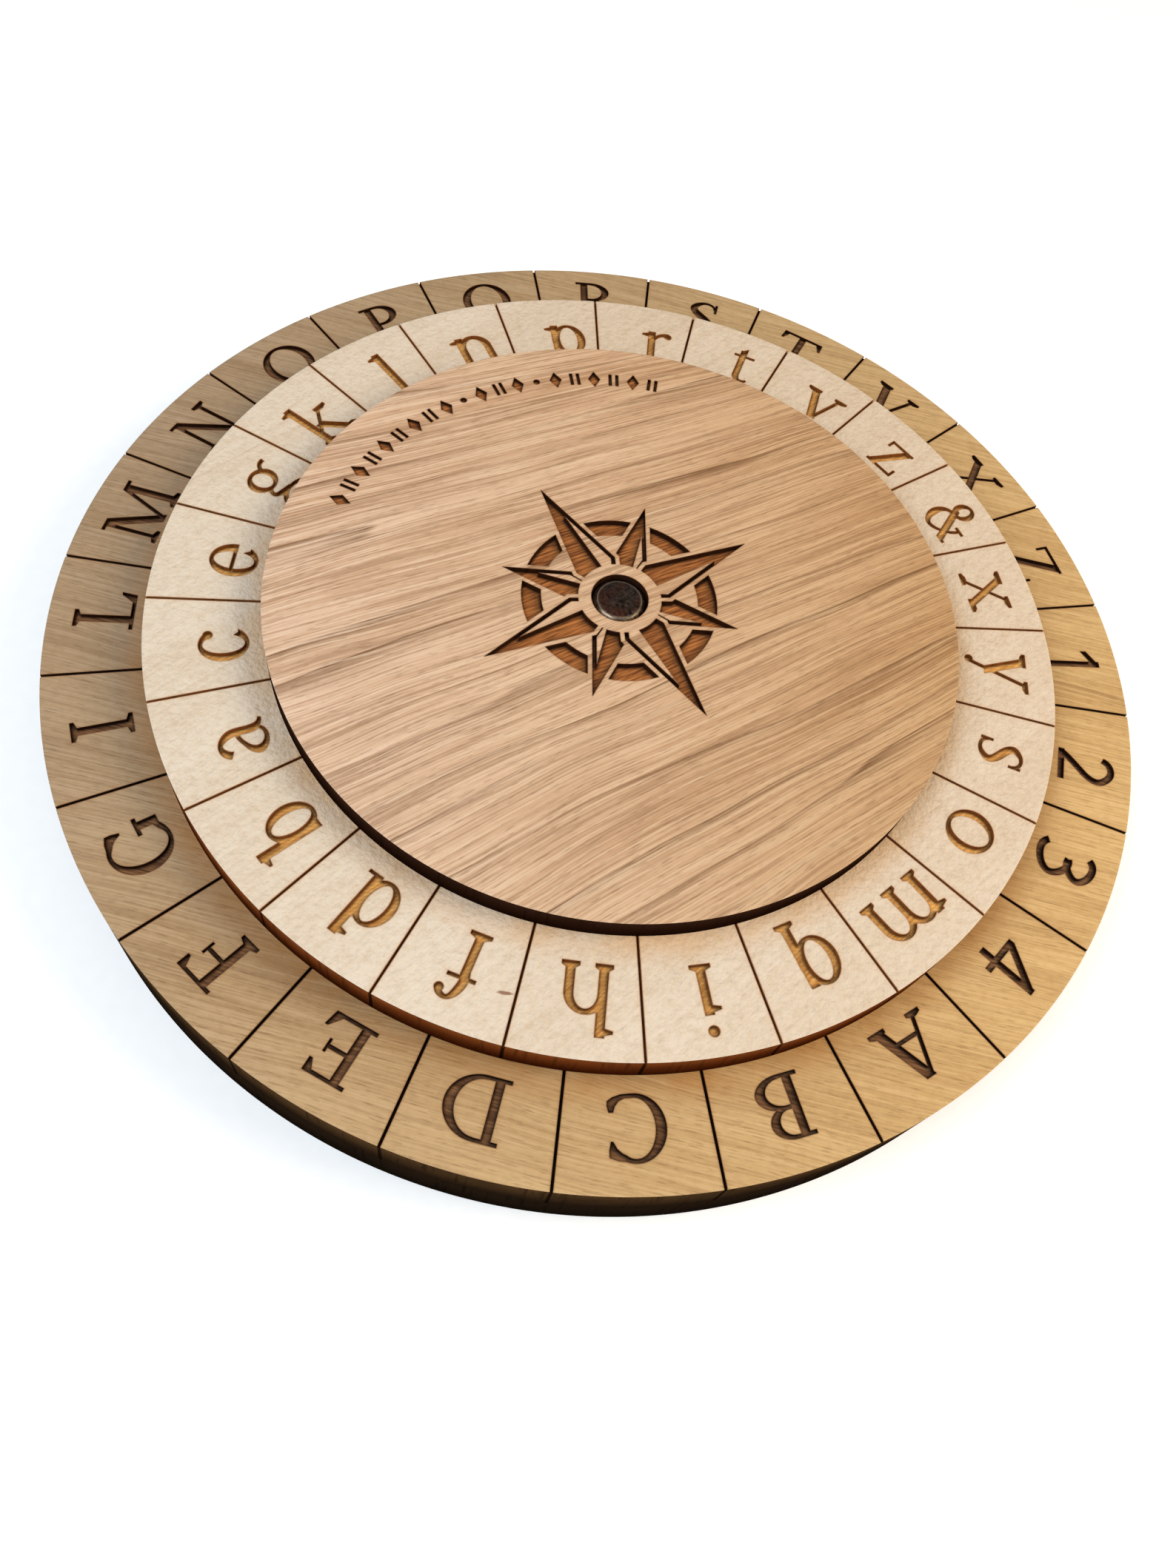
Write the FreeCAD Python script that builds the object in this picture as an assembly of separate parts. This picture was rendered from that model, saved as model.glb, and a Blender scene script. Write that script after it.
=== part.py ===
"""Alberti cipher disk: a fixed dial, a turning cipher disc and a cover disc on a steel pivot pin.

The frame is +Z up with the origin at the middle of the underside, in millimetres.
Seen from above, +Y is away from the reader and the capitals run clockwise.
"""
import FreeCAD, Part
import math
import os
from FreeCAD import Vector

INCH = 25.4

# Discs
base_diameter = 5.25 * INCH
cipher_diameter = 109.4
cover_diameter = 3.25 * INCH
base_ply_thickness = 6.0
cipher_thickness = 4.5
cover_thickness = 3.4
sector_count = 24

# Pivot pin, its washers and its retaining ring
pin_diameter = 6.3
pin_head_diameter = 12.0
pin_head_thickness = 2.0
pin_head_hole_diameter = 12.4
pin_crown = 0.35
pin_edge_bevel = 0.45
bearing_clearance = 0.06
cover_hole_diameter = 6.85
thrust_washer_diameter = 25.0
thrust_washer_thickness = 0.2
keeper_washer_diameter = 12.0
keeper_washer_thickness = 0.3
washer_hole_diameter = 6.5
running_gap = 0.05
ring_groove_diameter = 5.0
ring_thickness = 0.7
ring_outer_diameter = 11.3
ring_web = 1.9
ring_prong_width = 2.2
ring_mouth_width = 4.6
ring_side_clearance = 0.02
ring_prong_angles = (75.0, 180.0, 285.0)
ring_pocket_diameter = 15.0
ring_pocket_depth = 1.6

# Laser work
letter_depth = 0.55
emblem_depth = 0.8
garland_depth = 0.4
base_line_width = 0.32
cipher_line_width = 0.27
sector_line_depth = 0.45
base_line_start = 0.5 * cipher_diameter - 2.0
cipher_line_start = 0.5 * cover_diameter - 2.0
capital_baseline = 57.0
cipher_baseline = 44.4
capital_ring_shift = Vector(0.0, 0.4, 0.0)
cipher_ring_shift = Vector(1.4, -0.05, 0.0)
first_base_line_angle = -45.0
cipher_turn = 8.03

# Ornament on the cover disc: a compass rose round the pin and a garland near the rim
rose_north_angle = 127.3
rose_clear_radius = 5.0
long_ray = (18.4, 2.7, 5.4)
short_ray = (14.4, 1.9, 6.4)
ray_outline = 0.5
rose_ring_inner = 9.4
rose_ring_outer = 11.7
rose_ring_gap = 0.55
garland_radius = 35.65
garland_height = 2.7
garland_pitch_angle = 4.15
garland_groups = (9, 3, 6)
lozenge_width = 1.6
tick_width = 0.4
tick_gap = 0.5
tick_height = 2.0
bead_diameter = 0.84

# How far cutting tools reach past the surface they start from
overshoot = 1.0

# Heights
dial_plate_bottom = base_ply_thickness
dial_plate_top = dial_plate_bottom + base_ply_thickness
cipher_bottom = dial_plate_top + thrust_washer_thickness + running_gap
cipher_top = cipher_bottom + cipher_thickness
cover_top = cipher_top + cover_thickness
pocket_floor = cipher_top - ring_pocket_depth
keeper_washer_bottom = pocket_floor + running_gap
ring_bottom = keeper_washer_bottom + keeper_washer_thickness + ring_side_clearance

# Letter proportions
cap_height = 6.8
digit_height = 7.1
x_height = 5.5
ascender = 7.8
descender = -2.3
stem = 1.0
hair = 0.45
digit_pen = 0.85
serif_thickness = 0.42
serif_bracket = 0.3

capitals = "ABCDEFGILMNOPQRSTVXZ1234"
cipher_letters = "gklnprtvz&xysomqihfdbace"

# How far some letters stand clockwise of the middle of their sectors, as their set widths put them
letter_shifts = {
    "B": 0.2, "D": 0.7, "E": -0.2, "F": 0.4, "L": 0.5, "N": 0.4, "O": 0.3, "P": 0.2, "S": 0.5, "T": -0.4,
    "V": -0.3, "X": 0.8, "Z": 0.8, "1": 0.9, "2": 1.4, "3": -0.3, "4": -0.5, "g": 0.5, "p": 0.6, "r": 0.9,
    "t": 0.5, "v": 0.5, "z": 0.6, "&": 0.6, "s": -0.2, "o": -0.6, "m": 0.6, "q": 0.4, "i": 0.9, "h": 0.9,
    "f": 0.9, "b": 0.3, "a": -0.3, "c": 0.2,
}

# How far some digits stand outside the baseline
digit_rises = {"2": 0.4, "3": 0.2, "4": 0.4}


# ---------------------------------------------------------------- flat outlines for the lettering
def facing_up(face):
    return face if face.normalAt(0, 0).z > 0 else face.reversed()


def polygon(*points):
    corners = [Vector(x, y, 0) for x, y in points]
    return facing_up(Part.Face(Part.makePolygon(corners + corners[:1])))


def bar(x0, y0, x1, y1):
    return polygon((x0, y0), (x1, y0), (x1, y1), (x0, y1))


def upright(x, y0, y1, width=stem):
    return bar(x - width / 2, y0, x + width / 2, y1)


def slant(x0, y0, x1, y1, width):
    """A sloping stroke with level ends, `width` wide measured along the line of writing."""
    half = width / 2
    return polygon((x0 - half, y0), (x0 + half, y0), (x1 + half, y1), (x1 - half, y1))


def foot(x, y=0.0, half=0.95, width=stem):
    """A bracketed serif standing on height y."""
    top = y + serif_thickness
    neck = width / 2
    shoulder = top + serif_bracket
    return polygon((x - half, y), (x + half, y), (x + half, top), (x + neck, shoulder),
                   (x - neck, shoulder), (x - half, top))


def head(x, y, half=0.95, width=stem):
    """A bracketed serif hanging from height y."""
    bottom = y - serif_thickness
    neck = width / 2
    shoulder = bottom - serif_bracket
    return polygon((x - half, y), (x + half, y), (x + half, bottom), (x + neck, shoulder),
                   (x - neck, shoulder), (x - half, bottom))


def flag(x, y):
    """The sloping pen serif at the top left of a small letter's stem."""
    left = x - stem / 2
    return polygon((x + stem / 2, y), (left - 0.85, y - 0.5), (left - 0.85, y - 0.8), (left, y - 1.0))


def ellipse(x, y, rx, ry):
    centre = Vector(x, y, 0)
    if rx >= ry:
        curve = Part.Ellipse(centre + Vector(rx, 0, 0), centre + Vector(0, ry, 0), centre)
    else:
        curve = Part.Ellipse(centre + Vector(0, ry, 0), centre + Vector(-rx, 0, 0), centre)
    return facing_up(Part.Face(Part.Wire(curve.toShape())))


def dot(x, y, radius):
    circle = Part.Circle(Vector(x, y, 0), Vector(0, 0, 1), radius)
    return facing_up(Part.Face(Part.Wire(circle.toShape())))


def ring(x, y, rx, ry, thick=1.05, thin=hair):
    """A round stroke, thick at its sides and thin at its top and bottom."""
    return ellipse(x, y, rx, ry).cut(ellipse(x, y, rx - thick, ry - thin))


def right_bowl(x, y, rx, ry, thick=1.05):
    return ring(x, y, rx, ry, thick).common(bar(x, y - ry, x + rx, y + ry))


def arch(x_left, x_right, spring=3.3):
    """The arch between two stems of a small letter, with the right stem under it."""
    half_span = (x_right - x_left + stem) / 2
    rise = x_height + 0.08 - spring
    middle = (x_left + x_right) / 2
    curve = ring(middle, spring, half_span, rise, stem, 0.6)
    upper = curve.common(bar(middle - half_span, spring, middle + half_span, spring + rise))
    return [upper, upright(x_right, 0, spring), foot(x_right)]


def pen(points, widths):
    """A curved stroke: a smooth spine through the points, with the pen's width at each of them."""
    spine = Part.BSplineCurve()
    spine.interpolate([Vector(x, y, 0) for x, y in points])
    knots = [spine.parameter(Vector(x, y, 0)) for x, y in points]
    stations = []
    for index in range(len(points) - 1):
        for share in (0.0, 0.5):
            at = knots[index] + share * (knots[index + 1] - knots[index])
            width = widths[index] + share * (widths[index + 1] - widths[index])
            stations.append((at, width))
    stations.append((knots[-1], widths[-1]))
    sides = ([], [])
    for at, width in stations:
        place = spine.value(at)
        along = spine.tangent(at)[0]
        across = Vector(-along.y, along.x, 0) * (width / 2)
        sides[0].append(place + across)
        sides[1].append(place - across)
    edges = []
    for side in sides:
        curve = Part.BSplineCurve()
        curve.interpolate(side)
        edges.append(curve.toShape())
    ends = [Part.makeLine(sides[0][0], sides[1][0]), Part.makeLine(sides[0][-1], sides[1][-1])]
    wire = Part.Wire(Part.__sortEdges__([edges[0], ends[1], edges[1], ends[0]]))
    return facing_up(Part.Face(wire))


# ---------------------------------------------------------------- the letters, baseline at y = 0
def letter_strokes():
    cap = cap_height
    top = cap - serif_thickness
    low = serif_thickness
    mid = 3.3
    wide = 1.15
    x = x_height
    x_top = x - serif_thickness
    round_y = x / 2 - 0.03
    round_ry = x / 2 + 0.07
    strokes = {}
    strokes["A"] = [slant(-2.6, 0, -0.25, cap, 0.5), slant(2.4, 0, -0.1, cap, 1.3),
                    bar(-1.9, 2.05, 1.7, 2.5), foot(-2.6, width=0.5), foot(2.45, half=1.1)]
    strokes["B"] = [upright(-1.35, 0, cap), bar(-2.55, 0, -0.4, low), bar(-2.55, top, -0.4, cap),
                    bar(-1.35, mid, -0.4, mid + hair), right_bowl(-0.4, 5.05, 2.35, 1.75),
                    right_bowl(-0.4, 1.875, 3.0, 1.875, wide)]
    mouth_c = polygon((0.5, -0.5), (5, -0.5), (5, 7.5), (1.2, 7.5), (1.2, 3.4), (0.5, 3.4))
    beak_c = polygon((1.1, 6.73), (2.0, 6.62), (2.88, 6.3), (2.88, 5.6), (2.7, 4.75), (2.45, 4.75),
                     (2.05, 5.45), (1.6, 5.85), (1.1, 6.13))
    lip_c = polygon((0.45, -0.09), (1.5, 0.0), (2.4, 0.3), (2.95, 0.7), (2.98, 1.2), (2.82, 1.85),
                    (2.35, 1.85), (2.15, 1.25), (1.75, 0.72), (1.15, 0.42), (0.45, 0.39))
    strokes["C"] = [ring(0.15, cap / 2, 3.25, 3.5, wide).cut(mouth_c), beak_c, lip_c]
    strokes["D"] = [upright(-1.95, 0, cap), bar(-3.15, 0, -0.6, low), bar(-3.15, top, -0.6, cap),
                    right_bowl(-0.6, cap / 2, 3.8, cap / 2, wide)]
    arm_ticks = [polygon((2.1, cap), (1.2, top), (1.75, 5.3), (2.1, 5.3)), bar(1.05, 2.75, 1.35, 4.25)]
    arms = [upright(-1.45, 0, cap), bar(-2.65, top, 2.1, cap), bar(-1.45, mid, 1.2, mid + hair)]
    long_toe = [bar(-2.65, 0, 2.3, low), polygon((2.3, 0), (2.7, 1.75), (2.35, 1.75), (1.3, low))]
    strokes["E"] = arms + arm_ticks + long_toe
    strokes["F"] = arms + arm_ticks + [foot(-1.45, half=1.2)]
    mouth_g = polygon((0.95, 3.4), (1.05, 0.85), (2.7, 1.75), (5, 2.1), (5, 7.5), (0.95, 7.5))
    strokes["G"] = [ring(-0.1, cap / 2, 3.25, 3.5, wide).cut(mouth_g), beak_c.translated(Vector(-0.25, 0, 0)),
                    upright(2.3, 0.55, 2.9), bar(1.1, 2.65, 3.35, 3.1)]
    strokes["I"] = [upright(0, 0, cap), foot(0, half=1.3), head(0, cap, half=1.3)]
    strokes["L"] = [upright(-1.25, 0, cap), head(-1.25, cap, half=1.2)] + long_toe
    strokes["M"] = [upright(-3.15, 0, cap, 0.5), upright(3.1, 0, cap, 1.05), foot(-3.15, width=0.5),
                    foot(3.1, half=1.2), slant(-0.05, 0.3, -2.85, cap, 1.2), bar(-4.05, top, -2.6, cap),
                    slant(-0.05, 0.3, 2.85, cap, 0.5), bar(2.7, top, 4.25, cap)]
    strokes["N"] = [upright(-2.25, 0, cap, 0.5), upright(2.25, 0, cap, 0.5), foot(-2.25, width=0.5),
                    head(2.25, cap, width=0.5), slant(2.0, 0, -2.3, cap, 1.2), bar(-3.25, top, -2.0, cap)]
    round_cap = ring(0, cap / 2, 3.45, 3.5, wide)
    strokes["O"] = [round_cap]
    strokes["Q"] = [round_cap, pen([(0.2, 0.2), (1.3, -0.6), (2.9, -1.35)], [0.5, 0.95, 0.4])]
    bowl_p = [upright(-1.3, 0, cap), bar(-2.5, top, -0.3, cap), bar(-1.3, 3.0, -0.3, 3.0 + hair),
              foot(-1.3, half=1.2), right_bowl(-0.3, 4.9, 2.65, 1.9)]
    strokes["P"] = bowl_p
    strokes["R"] = bowl_p + [slant(2.55, 0, 0.1, 3.3, 1.15), foot(2.7, half=1.0)]
    strokes["S"] = [pen([(1.7, 5.6), (0.1, 6.6), (-1.4, 5.25), (0.0, 3.6), (1.55, 1.75), (-0.1, 0.2),
                         (-1.85, 1.1)], [0.35, 0.45, 1.0, 1.2, 1.0, 0.45, 0.35]),
                    bar(1.65, 4.9, 2.0, 6.75), bar(-2.1, 0.05, -1.75, 1.95)]
    strokes["T"] = [upright(0, 0, cap), bar(-3.0, top, 3.0, cap), foot(0, half=1.25),
                    polygon((-3.0, cap), (-2.2, top), (-2.8, 5.2), (-3.1, 5.2)),
                    polygon((3.0, cap), (2.2, top), (2.8, 5.2), (3.1, 5.2))]
    strokes["V"] = [slant(0.0, 0, -2.3, cap, 1.25), slant(0.1, 0, 2.35, cap, 0.5), head(-2.4, cap, 1.1),
                    head(2.45, cap, 0.95, 0.5)]
    strokes["X"] = [slant(2.3, 0, -2.2, cap, 1.25), slant(-2.35, 0, 2.15, cap, 0.5),
                    head(-2.3, cap, 1.05), head(2.25, cap, 0.95, 0.5), foot(2.4, 0, 1.05),
                    foot(-2.45, 0, 0.95, 0.5)]
    strokes["Z"] = [bar(-2.3, top, 2.4, cap), bar(-2.5, 0, 2.4, low), slant(-1.8, 0, 1.75, cap, 1.25),
                    bar(-2.3, 5.1, -1.95, cap), bar(2.3, 0, 2.65, 1.75)]

    tall = digit_height
    strokes["1"] = [bar(0.1, 0, 0.1 + digit_pen, tall),
                    polygon((0.6, tall), (-1.5, 5.75), (-1.5, 4.95), (0.4, 6.1))]
    strokes["2"] = [pen([(-1.8, 5.6), (-0.1, 6.7), (1.5, 5.2), (0.2, 2.7), (-1.75, 0.45)],
                        [digit_pen] * 5), bar(-2.2, 0, 2.2, 0.75)]
    strokes["3"] = [pen([(-1.95, 6.1), (-0.1, 6.7), (1.55, 5.35), (0.55, 4.0), (-0.8, 3.75)],
                        [digit_pen] * 5),
                    pen([(-0.8, 3.75), (1.15, 3.35), (1.9, 2.0), (0.2, 0.4), (-2.2, 0.85)],
                        [digit_pen] * 5)]
    strokes["4"] = [bar(0.55, 0, 0.55 + digit_pen, tall), bar(-2.5, 1.6, 2.5, 2.35),
                    polygon((-2.5, 1.6), (-1.6, 2.1), (1.2, 6.3), (1.2, tall), (0.75, tall), (-2.5, 2.3))]

    strokes["a"] = [pen([(-1.55, 4.4), (-0.1, 5.35), (1.1, 4.0), (1.15, 1.3), (2.2, 0.35)],
                        [0.95, 0.5, 0.95, 0.95, 0.35]),
                    pen([(1.15, 3.25), (-0.6, 2.75), (-1.7, 1.45), (-0.5, 0.3), (1.15, 1.2)],
                        [0.4, 0.5, 1.0, 0.5, 0.35])]
    strokes["b"] = [upright(-1.55, 0.35, ascender), flag(-1.55, ascender), ring(0.15, round_y, 2.2, round_ry)]
    mouth_small = polygon((0.3, 2.9), (1.25, 4.35), (4, 4.35), (4, 1.05), (1.6, 1.05))
    strokes["c"] = [ring(0.1, round_y, 2.35, round_ry).cut(mouth_small), dot(1.45, 4.45, 0.55)]
    strokes["d"] = [upright(1.4, 0, ascender), flag(1.4, ascender), ring(-0.3, round_y, 2.2, round_ry),
                    bar(1.4, 0, 2.65, 0.38)]
    mouth_e = polygon((0.8, 2.6), (4, 2.6), (4, 1.1), (1.6, 1.1))
    strokes["e"] = [ring(0, round_y, 2.35, round_ry).cut(mouth_e), bar(-1.7, 2.6, 2.2, 3.0)]
    strokes["f"] = [pen([(1.7, 6.95), (0.6, 7.65), (-0.35, 6.3), (-0.35, 4.5)], [0.7, 0.5, 0.95, 0.95]),
                    upright(-0.35, 0, 5.2, 0.95), dot(1.6, 6.9, 0.5), bar(-1.7, 5.0, 1.4, 5.42),
                    foot(-0.35, half=1.2)]
    strokes["g"] = [ring(-0.3, 3.75, 1.95, 1.8, 0.85), ring(0, -0.8, 2.35, 1.4, 0.75),
                    pen([(1.2, 4.8), (1.8, 5.3), (2.7, 5.3)], [0.45, 0.5, 0.55]),
                    pen([(-0.9, 2.2), (-1.6, 1.35), (-0.6, 0.7), (0.6, 0.4)], [0.45, 0.6, 0.75, 0.5])]
    stem_pair = [foot(-1.75), flag(-1.75, x)]
    strokes["h"] = [upright(-1.75, 0, ascender), foot(-1.75), flag(-1.75, ascender)] + arch(-1.75, 1.75)
    strokes["i"] = [upright(0, 0, x), foot(0, half=1.15), flag(0, x)]
    strokes["k"] = [upright(-1.7, 0, ascender), foot(-1.7), flag(-1.7, ascender),
                    slant(-1.35, 2.1, 1.5, x, 0.55), head(1.6, x, 0.95, 0.5), slant(2.05, 0, -0.55, 3.3, 1.2),
                    foot(2.15, half=1.0)]
    strokes["l"] = [upright(0, 0, ascender), foot(0, half=1.15), flag(0, ascender)]
    strokes["m"] = ([upright(-3.35, 0, x), foot(-3.35), flag(-3.35, x)] + arch(-3.35, 0)
                    + arch(0, 3.35))
    strokes["n"] = [upright(-1.75, 0, x)] + stem_pair + arch(-1.75, 1.75)
    strokes["o"] = [ring(0, round_y, 2.75, round_ry)]
    strokes["p"] = [upright(-1.6, descender, x), flag(-1.6, x), foot(-1.6, descender),
                    ring(0.15, round_y, 2.3, round_ry)]
    strokes["q"] = [upright(1.55, descender, x - 0.2), foot(1.55, descender, 1.1),
                    ring(-0.2, round_y, 2.3, round_ry)]
    strokes["r"] = [upright(-0.9, 0, x), foot(-0.9, half=1.15), flag(-0.9, x),
                    pen([(-0.7, 3.7), (0.2, 4.9), (1.4, 5.1)], [0.4, 0.55, 0.7]), dot(1.35, 4.85, 0.5)]
    strokes["s"] = [pen([(1.3, 4.5), (0.05, 5.3), (-1.1, 4.25), (0.05, 2.85), (1.2, 1.45), (-0.1, 0.2),
                         (-1.45, 1.0)], [0.35, 0.45, 0.9, 1.05, 0.9, 0.45, 0.35]),
                    bar(1.2, 3.95, 1.55, 5.4), bar(-1.7, 0.1, -1.35, 1.6)]
    strokes["t"] = [upright(-0.3, 1.3, 6.3, 0.9), polygon((0.15, 6.9), (-0.75, 6.1), (0.15, 6.1)),
                    pen([(-0.3, 1.4), (0.3, 0.35), (1.4, 0.7)], [0.9, 0.7, 0.35]),
                    bar(-1.5, 5.0, 1.4, 5.42)]
    strokes["v"] = [slant(0.0, 0, -1.9, x, 1.15), slant(0.1, 0, 1.95, x, 0.5), head(-2.0, x, 1.0),
                    head(2.05, x, 0.9, 0.5)]
    strokes["x"] = [slant(1.95, 0, -1.85, x, 1.15), slant(-2.0, 0, 1.85, x, 0.5), head(-1.95, x, 1.0),
                    head(1.95, x, 0.9, 0.5), foot(2.05, 0, 1.0), foot(-2.1, 0, 0.9, 0.5)]
    strokes["y"] = [slant(0.1, 0.1, -1.85, x, 1.15), slant(-1.05, -1.9, 1.95, x, 0.5),
                    head(-1.95, x, 1.0), head(2.05, x, 0.9, 0.5), dot(-1.3, -1.8, 0.5)]
    strokes["z"] = [bar(-1.8, x_top, 1.95, x), bar(-2.0, 0, 1.95, low), slant(-1.4, 0, 1.35, x, 1.15),
                    bar(-1.8, 4.2, -1.45, x), bar(1.85, 0, 2.2, 1.4)]
    strokes["&"] = [ring(-0.45, 5.75, 1.4, 1.5, 0.75), slant(2.2, 0, -1.2, 5.2, 1.15),
                    pen([(-1.0, 4.3), (-2.1, 2.0), (-0.8, 0.25), (1.1, 1.2), (2.1, 3.3)],
                        [0.4, 1.0, 0.55, 0.4, 0.45]), bar(1.4, 3.1, 2.9, 3.5), bar(1.7, 0, 2.9, 0.4)]
    return strokes


def merged(strokes):
    """One outline from strokes that overlap."""
    faces = [facing_up(face) for stroke in strokes for face in stroke.Faces]
    if len(faces) == 1:
        return faces[0]
    return faces[0].multiFuse(faces[1:]).removeSplitter()


def letter_outlines():
    outlines = {letter: merged(strokes) for letter, strokes in letter_strokes().items()}
    outlines["i"] = Part.makeCompound([outlines["i"], dot(-0.05, 7.2, 0.6)])
    return outlines


def pocket(outline, surface, depth):
    """The solid that the engraving takes away below a surface."""
    tool = outline.extrude(Vector(0, 0, depth + overshoot))
    tool.translate(Vector(0, 0, surface - depth))
    return tool


def ring_of_letters(text, outlines, baseline, first_angle, shift, surface):
    """Letters round a disc, clockwise from first_angle, tops outwards."""
    pitch = 360.0 / sector_count
    tools = []
    for index, letter in enumerate(text):
        angle = first_angle - pitch * index
        tool = pocket(outlines[letter], surface, letter_depth)
        tool.translate(Vector(letter_shifts.get(letter, 0.0), baseline + digit_rises.get(letter, 0.0), 0))
        tool.rotate(Vector(0, 0, 0), Vector(0, 0, 1), angle - 90.0)
        tool.translate(shift)
        tools.append(tool)
    return tools


def sector_lines(start, end, width, first_angle, surface):
    tools = []
    for index in range(sector_count):
        line = Part.makeBox(end - start + overshoot, width, sector_line_depth + overshoot,
                            Vector(start, -width / 2, surface - sector_line_depth))
        line.rotate(Vector(0, 0, 0), Vector(0, 0, 1), first_angle + 360.0 / sector_count * index)
        tools.append(line)
    return tools


def disc(diameter, bottom, height, hole_diameter):
    body = Part.makeCylinder(diameter / 2, height, Vector(0, 0, bottom))
    hole = Part.makeCylinder(hole_diameter / 2, height + 2 * overshoot, Vector(0, 0, bottom - overshoot))
    return body.cut(hole)


# ---------------------------------------------------------------- ornament of the cover disc
def turned(shape, angle):
    copy = shape.copy()
    copy.rotate(Vector(0, 0, 0), Vector(0, 0, 1), angle)
    return copy


def ray(size):
    """One ray pointing along +Y: its left half is cut away whole and its right half only outlined."""
    length, half_width, shoulder = size
    whole = polygon((0, length), (-half_width, shoulder), (0, 0), (half_width, shoulder))
    right_half = polygon((0, length), (0, 0), (half_width, shoulder))
    return whole.cut(right_half.makeOffset2D(-ray_outline, 2)), whole


def compass_rose():
    long_cut, long_whole = ray(long_ray)
    short_cut, short_whole = ray(short_ray)
    long_cuts = [turned(long_cut, 90 * quarter) for quarter in range(4)]
    long_wholes = [turned(long_whole, 90 * quarter) for quarter in range(4)]
    short_cuts = [turned(short_cut, 45 + 90 * quarter) for quarter in range(4)]
    short_wholes = [turned(short_whole, 45 + 90 * quarter) for quarter in range(4)]
    margins = [face.makeOffset2D(rose_ring_gap, 2) for face in long_wholes + short_wholes]
    band = dot(0, 0, rose_ring_outer).cut(dot(0, 0, rose_ring_inner))
    for margin in margins:
        band = band.cut(margin)
    pieces = [band] + long_cuts
    for short in short_cuts:
        for long in long_wholes:
            short = short.cut(long.makeOffset2D(rose_ring_gap, 2))
        pieces.append(short)
    centre = dot(0, 0, rose_clear_radius)
    faces = [face for piece in pieces for face in piece.cut(centre).Faces]
    return Part.makeCompound([facing_up(face) for face in faces])


def garland():
    """Lozenges and pairs of ticks along an arc, in three groups with a bead between them."""
    half = garland_height / 2
    lozenge = polygon((0, -half), (lozenge_width / 2, 0), (0, half), (-lozenge_width / 2, 0))
    aside = (tick_gap + tick_width) / 2
    tick = upright(aside, -tick_height / 2, tick_height / 2, tick_width)
    ticks = Part.makeCompound([tick, turned(tick, 180.0)])
    bead = dot(0, 0, bead_diameter / 2)
    marks = []
    for group, count in enumerate(garland_groups):
        marks += [lozenge if index % 2 == 0 else ticks for index in range(count)]
        if group < len(garland_groups) - 1:
            marks.append(bead)
    first = rose_north_angle + garland_pitch_angle * (len(marks) - 1) / 2
    placed = []
    for index, mark in enumerate(marks):
        shape = mark.translated(Vector(0, garland_radius, 0))
        placed.append(turned(shape, first - garland_pitch_angle * index - 90.0))
    return Part.makeCompound(placed)


# ---------------------------------------------------------------- the pieces
def base_back_plate():
    return disc(base_diameter, 0.0, base_ply_thickness, pin_head_hole_diameter)


def base_dial_plate(outlines):
    plate = disc(base_diameter, dial_plate_bottom, base_ply_thickness, pin_diameter)
    pitch = 360.0 / sector_count
    tools = ring_of_letters(capitals, outlines, capital_baseline, first_base_line_angle - pitch / 2,
                            capital_ring_shift, dial_plate_top)
    tools += sector_lines(base_line_start, base_diameter / 2, base_line_width, first_base_line_angle,
                          dial_plate_top)
    return plate.cut(tools)


def cipher_disc(outlines):
    bore = pin_diameter + 2 * bearing_clearance
    plate = disc(cipher_diameter, cipher_bottom, cipher_thickness, bore)
    pocket_tool = Part.makeCylinder(ring_pocket_diameter / 2, ring_pocket_depth + overshoot,
                                    Vector(0, 0, pocket_floor))
    pitch = 360.0 / sector_count
    first_letter_angle = 180.0 - 1.5 * pitch + cipher_turn
    tools = ring_of_letters(cipher_letters, outlines, cipher_baseline, first_letter_angle,
                            cipher_ring_shift, cipher_top)
    tools += sector_lines(cipher_line_start, cipher_diameter / 2, cipher_line_width, cipher_turn, cipher_top)
    return plate.cut(tools + [pocket_tool])


def cover_disc():
    plate = disc(cover_diameter, cipher_top, cover_thickness, cover_hole_diameter)
    rose = pocket(turned(compass_rose(), rose_north_angle - 90.0), cover_top, emblem_depth)
    band = pocket(garland(), cover_top, garland_depth)
    return plate.cut([rose, band])


def washer(outer_diameter, bottom, thickness):
    return disc(outer_diameter, bottom, thickness, washer_hole_diameter)


def pivot_pin():
    """Head, grooved shank, bevel and a low crown."""
    radius = pin_diameter / 2
    crown_radius = radius - pin_edge_bevel
    rim = cover_top - pin_crown
    sphere_radius = (crown_radius ** 2 + pin_crown ** 2) / (2 * pin_crown)
    head_bottom = dial_plate_bottom - pin_head_thickness
    groove_bottom = ring_bottom - ring_side_clearance
    groove_height = ring_thickness + 2 * ring_side_clearance
    head_solid = Part.makeCylinder(pin_head_diameter / 2, pin_head_thickness, Vector(0, 0, head_bottom))
    shank_height = rim - pin_edge_bevel - dial_plate_bottom
    shank = Part.makeCylinder(radius, shank_height, Vector(0, 0, dial_plate_bottom))
    bevel = Part.makeCone(radius, crown_radius, pin_edge_bevel, Vector(0, 0, rim - pin_edge_bevel))
    ball = Part.makeSphere(sphere_radius, Vector(0, 0, cover_top - sphere_radius))
    crown = ball.common(Part.makeCylinder(crown_radius, 2 * pin_crown, Vector(0, 0, rim)))
    groove = Part.makeCylinder(radius + overshoot, groove_height, Vector(0, 0, groove_bottom))
    core = Part.makeCylinder(ring_groove_diameter / 2, groove_height, Vector(0, 0, groove_bottom))
    return head_solid.multiFuse([shank, bevel, crown]).cut(groove.cut(core)).removeSplitter()


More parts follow.
